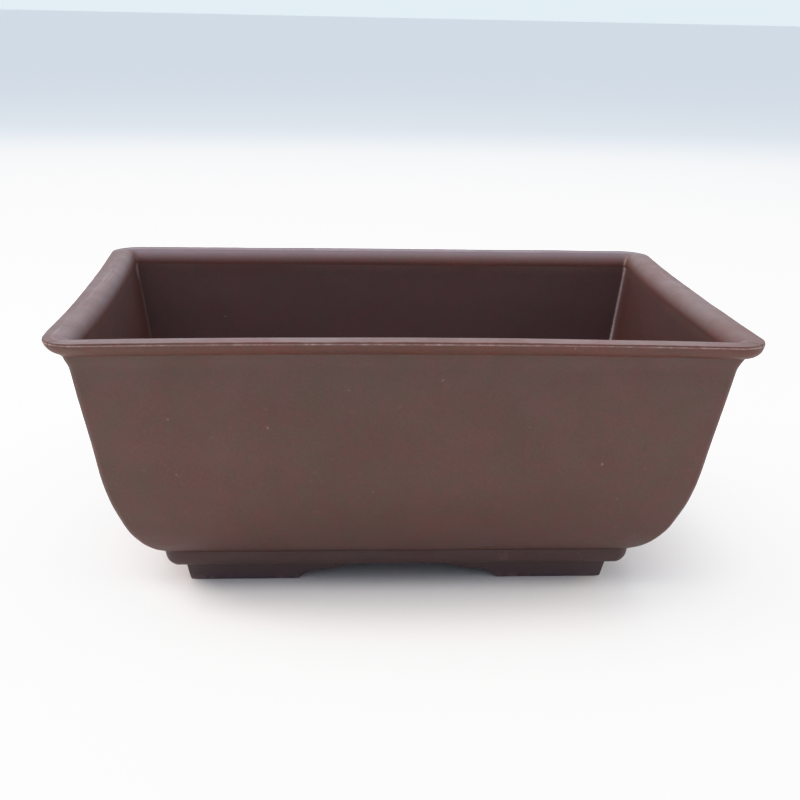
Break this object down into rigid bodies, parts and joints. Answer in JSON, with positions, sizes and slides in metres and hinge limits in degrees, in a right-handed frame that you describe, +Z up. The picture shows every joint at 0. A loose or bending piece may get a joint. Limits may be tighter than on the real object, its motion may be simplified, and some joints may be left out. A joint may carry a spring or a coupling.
{
  "type": "bonsai pot",
  "caption": "Empty rectangular bonsai pot with a rolled lip, walls that curl in at the base, bracket feet and drainage holes, in reddish-brown unglazed stoneware.",
  "frame": {"origin": "centre of the pot's footprint, on the surface that its feet stand on", "axes": "+X along the long side, +Y from front to back, +Z up out of the mouth"},
  "size_m": [0.2992, 0.2247, 0.1268],
  "materials": {
    "wall_clay": "unglazed, satin-matte, mottled red-brown",
    "lip_clay": "unglazed, burnished smooth, worn edge",
    "floor_clay": "unglazed, matte",
    "foot_clay": "unglazed, matte, dry sole"
  },
  "bodies": {
    "root": {"front_wall": "wall_clay", "back_wall": "wall_clay", "left_wall": "wall_clay", "right_wall": "wall_clay", "lip_front": "lip_clay", "lip_back": "lip_clay", "lip_left": "lip_clay", "lip_right": "lip_clay", "floor_slab": "floor_clay", "seam_coil": "floor_clay", "foot_front_left": "foot_clay", "foot_front_right": "foot_clay", "foot_back_left": "foot_clay", "foot_back_right": "foot_clay"}
  },
  "joints": []
}
